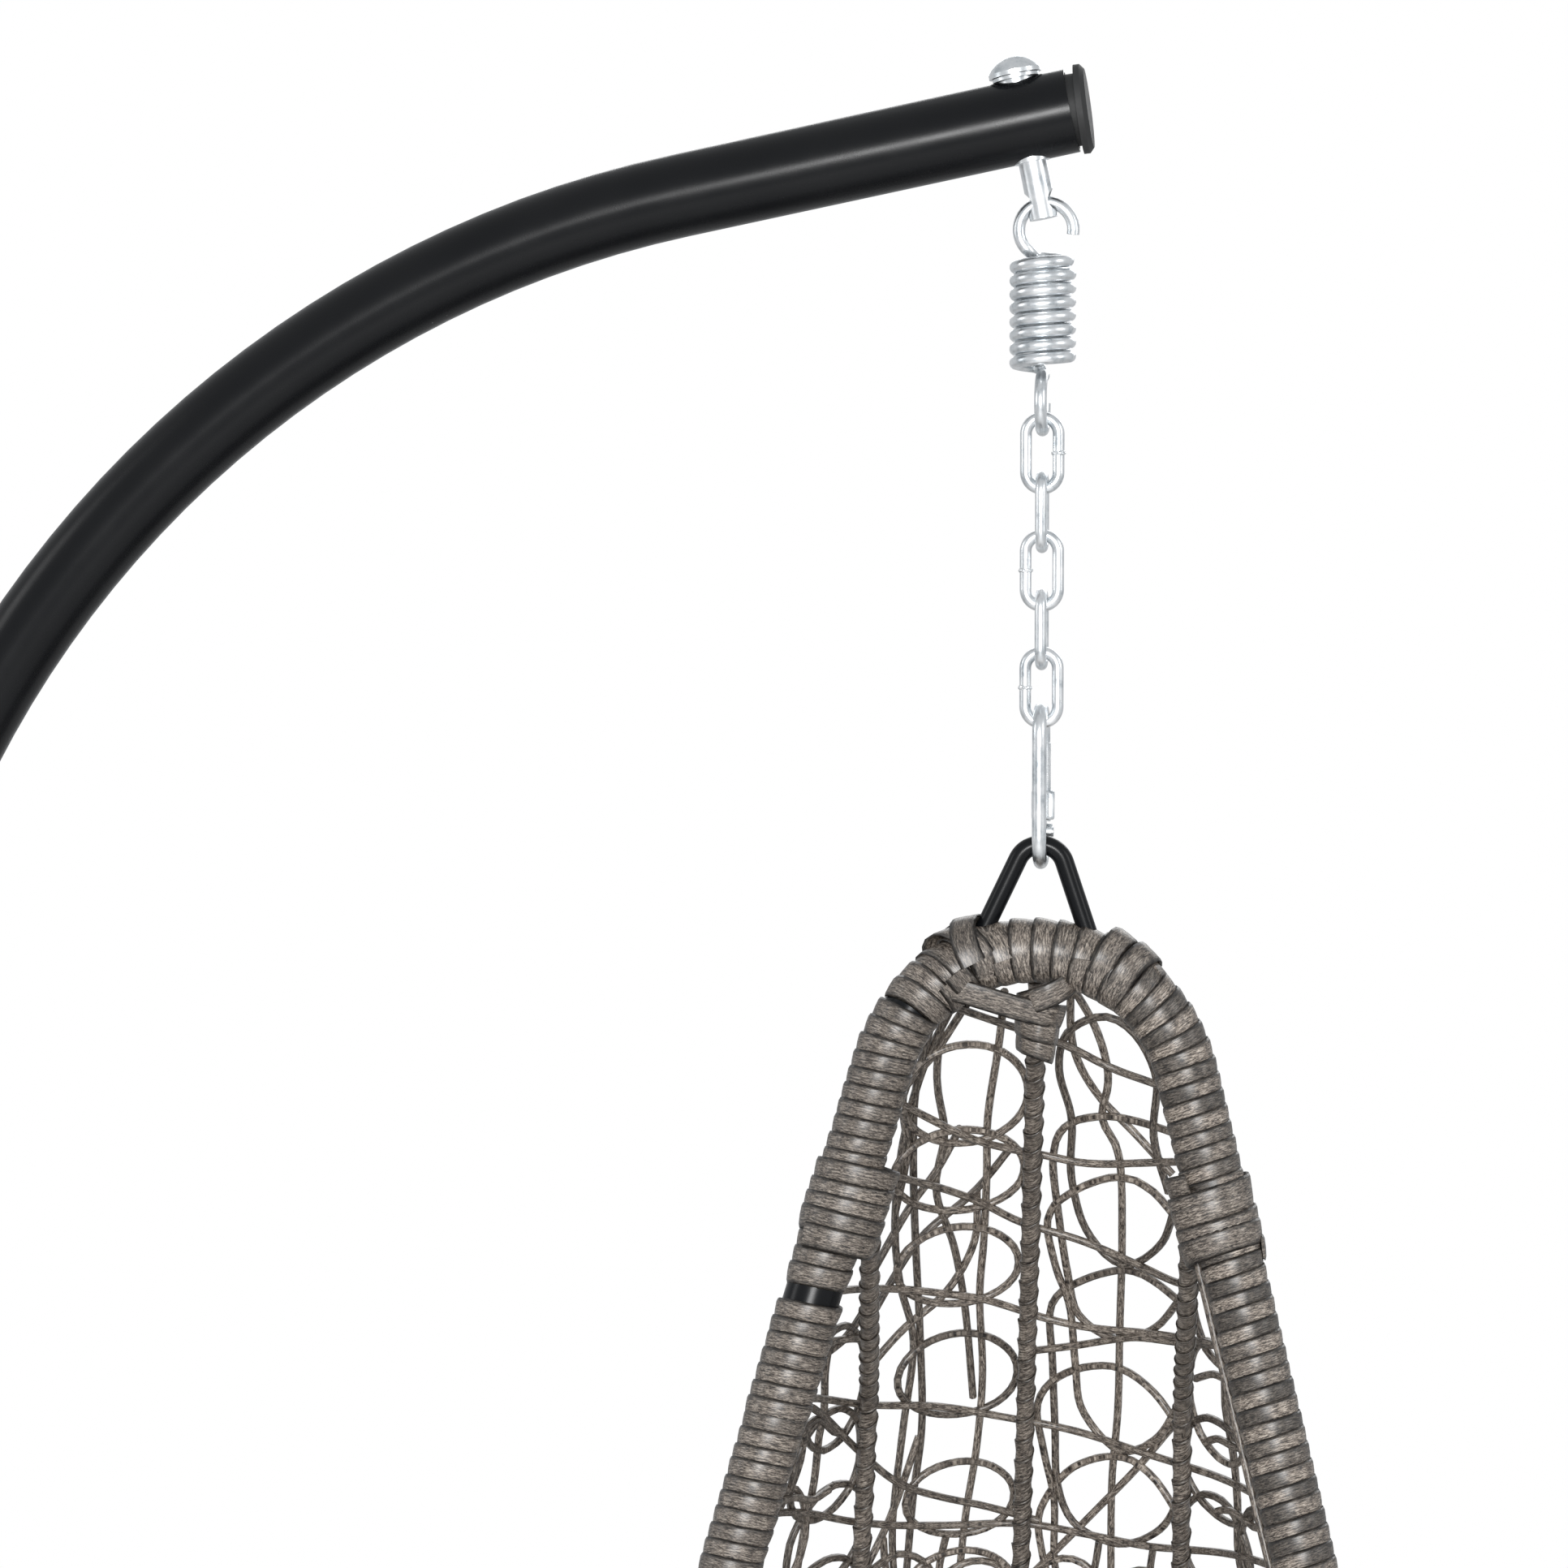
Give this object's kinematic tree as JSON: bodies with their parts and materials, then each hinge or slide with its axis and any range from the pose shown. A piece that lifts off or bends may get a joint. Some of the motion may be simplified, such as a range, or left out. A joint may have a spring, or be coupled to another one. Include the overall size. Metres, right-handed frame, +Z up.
{
  "type": "hanging egg chair",
  "caption": "Wicker egg basket with cushions, hung by a snap hook, chain and spring from a swivel pin in a curved floor-standing arm.",
  "frame": {"origin": "on the floor, under the middle of the overall width and depth", "axes": "+Z up, +X the way the nose of the arm points, -Y the way the basket opens"},
  "size_m": [1.3034, 1.05, 1.9567],
  "materials": {
    "black_powder_coat": "satin powder coat, near black",
    "zinc_plate": "bright zinc plate",
    "wicker_strip": "flat grey-brown plastic wicker with a streaked grain and a soft sheen",
    "wicker_strand": "round grey-brown plastic wicker with a streaked grain",
    "foot_rubber": "matt",
    "cap_plastic": "moulded, matt",
    "cushion_cloth": "woven polyester"
  },
  "bodies": {
    "stand": {"base_ring_front": "black_powder_coat", "base_ring_rear": "black_powder_coat", "ring_joiners": "black_powder_coat", "ring_joiner_bolts": "zinc_plate", "base_spine": "black_powder_coat", "spine_bolts": "zinc_plate", "post_socket": "black_powder_coat", "socket_gussets": "black_powder_coat", "foot_pads": "foot_rubber", "lower_post": "black_powder_coat", "post_joiner": "black_powder_coat", "upper_arm": "black_powder_coat", "post_bolts": "zinc_plate", "post_nuts": "zinc_plate", "arm_end_cap": "cap_plastic", "pin_sleeve": "zinc_plate", "pin_washer": "zinc_plate"},
    "swivel_pin": {"swivel_pin": "zinc_plate"},
    "spring_upper": {"spring_upper_loop": "zinc_plate", "spring_coil": "zinc_plate"},
    "spring_lower": {"spring_lower_loop": "zinc_plate"},
    "chain_link_1": {"chain_link_1": "zinc_plate"},
    "chain_link_2": {"chain_link_2": "zinc_plate"},
    "chain_link_3": {"chain_link_3": "zinc_plate"},
    "chain_link_4": {"chain_link_4": "zinc_plate"},
    "chain_link_5": {"chain_link_5": "zinc_plate"},
    "snap_hook": {"snap_hook_body": "zinc_plate", "gate_rivet": "zinc_plate"},
    "hook_gate": {"snap_hook_gate": "zinc_plate"},
    "lock_sleeve": {"lock_sleeve": "zinc_plate"},
    "basket": {"hanger_rod": "black_powder_coat", "ring_tube": "black_powder_coat", "ring_winding": "wicker_strip", "centre_rib": "black_powder_coat", "left_rib": "black_powder_coat", "right_rib": "black_powder_coat", "centre_rib_winding": "wicker_strip", "left_rib_winding": "wicker_strip", "right_rib_winding": "wicker_strip", "left_binding": "wicker_strip", "right_binding": "wicker_strip", "back_hoop": "black_powder_coat", "seat_hoop": "black_powder_coat", "basket_weave": "wicker_strand", "seat_cushion": "cushion_cloth", "back_cushion": "cushion_cloth"}
  },
  "joints": [
    {"name": "pin_swivel", "type": "hinge", "parent": "stand", "child": "swivel_pin", "pos_m": [0.10956, 0, 1.91821], "axis": [-0.2002, 0, 0.9798], "continuous": true},
    {"name": "spring_swing", "type": "hinge", "parent": "swivel_pin", "child": "spring_upper", "pos_m": [0.1195, 0, 1.8696], "axis": [1, 0, 0], "range_deg": [-22, 22]},
    {"name": "spring_stretch", "type": "slide", "parent": "spring_upper", "child": "spring_lower", "axis": [0, 0, -1], "range_m": [0, 0.04], "stiffness_N_per_m": 20000, "springref_m": -0.015, "deforming": ["spring_coil"]},
    {"name": "link_1_swing", "type": "hinge", "parent": "spring_lower", "child": "chain_link_1", "pos_m": [0.1209, 0, 1.73473], "axis": [0, 1, 0], "range_deg": [-22, 15]},
    {"name": "link_2_swing", "type": "hinge", "parent": "chain_link_1", "child": "chain_link_2", "pos_m": [0.1209, 0, 1.69998], "axis": [-1, 0, 0], "range_deg": [-22, 22]},
    {"name": "link_3_swing", "type": "hinge", "parent": "chain_link_2", "child": "chain_link_3", "pos_m": [0.1209, 0, 1.66498], "axis": [0, -1, 0], "range_deg": [-15, 22]},
    {"name": "link_4_swing", "type": "hinge", "parent": "chain_link_3", "child": "chain_link_4", "pos_m": [0.1209, 0, 1.62998], "axis": [1, 0, 0], "range_deg": [-22, 22]},
    {"name": "link_5_swing", "type": "hinge", "parent": "chain_link_4", "child": "chain_link_5", "pos_m": [0.1209, 0, 1.59498], "axis": [0, 1, 0], "range_deg": [-22, 15]},
    {"name": "hook_swing", "type": "hinge", "parent": "chain_link_5", "child": "snap_hook", "pos_m": [0.1209, 0, 1.55998], "axis": [-1, 0, 0], "range_deg": [-22, 22]},
    {"name": "gate_hinge", "type": "hinge", "parent": "snap_hook", "child": "hook_gate", "pos_m": [0.1209, 0.016, 1.49343], "axis": [1, 0, 0], "range_deg": [0, 21], "stiffness_Nm_per_rad": 0.05, "springref_deg": -22.92},
    {"name": "sleeve_travel", "type": "slide", "parent": "hook_gate", "child": "lock_sleeve", "axis": [0, 0, 1], "range_m": [0, 0.032]},
    {"name": "basket_swing", "type": "hinge", "parent": "snap_hook", "child": "basket", "pos_m": [0.1209, 0, 1.47643], "axis": [0, -1, 0], "range_deg": [-20, 20]}
  ]
}
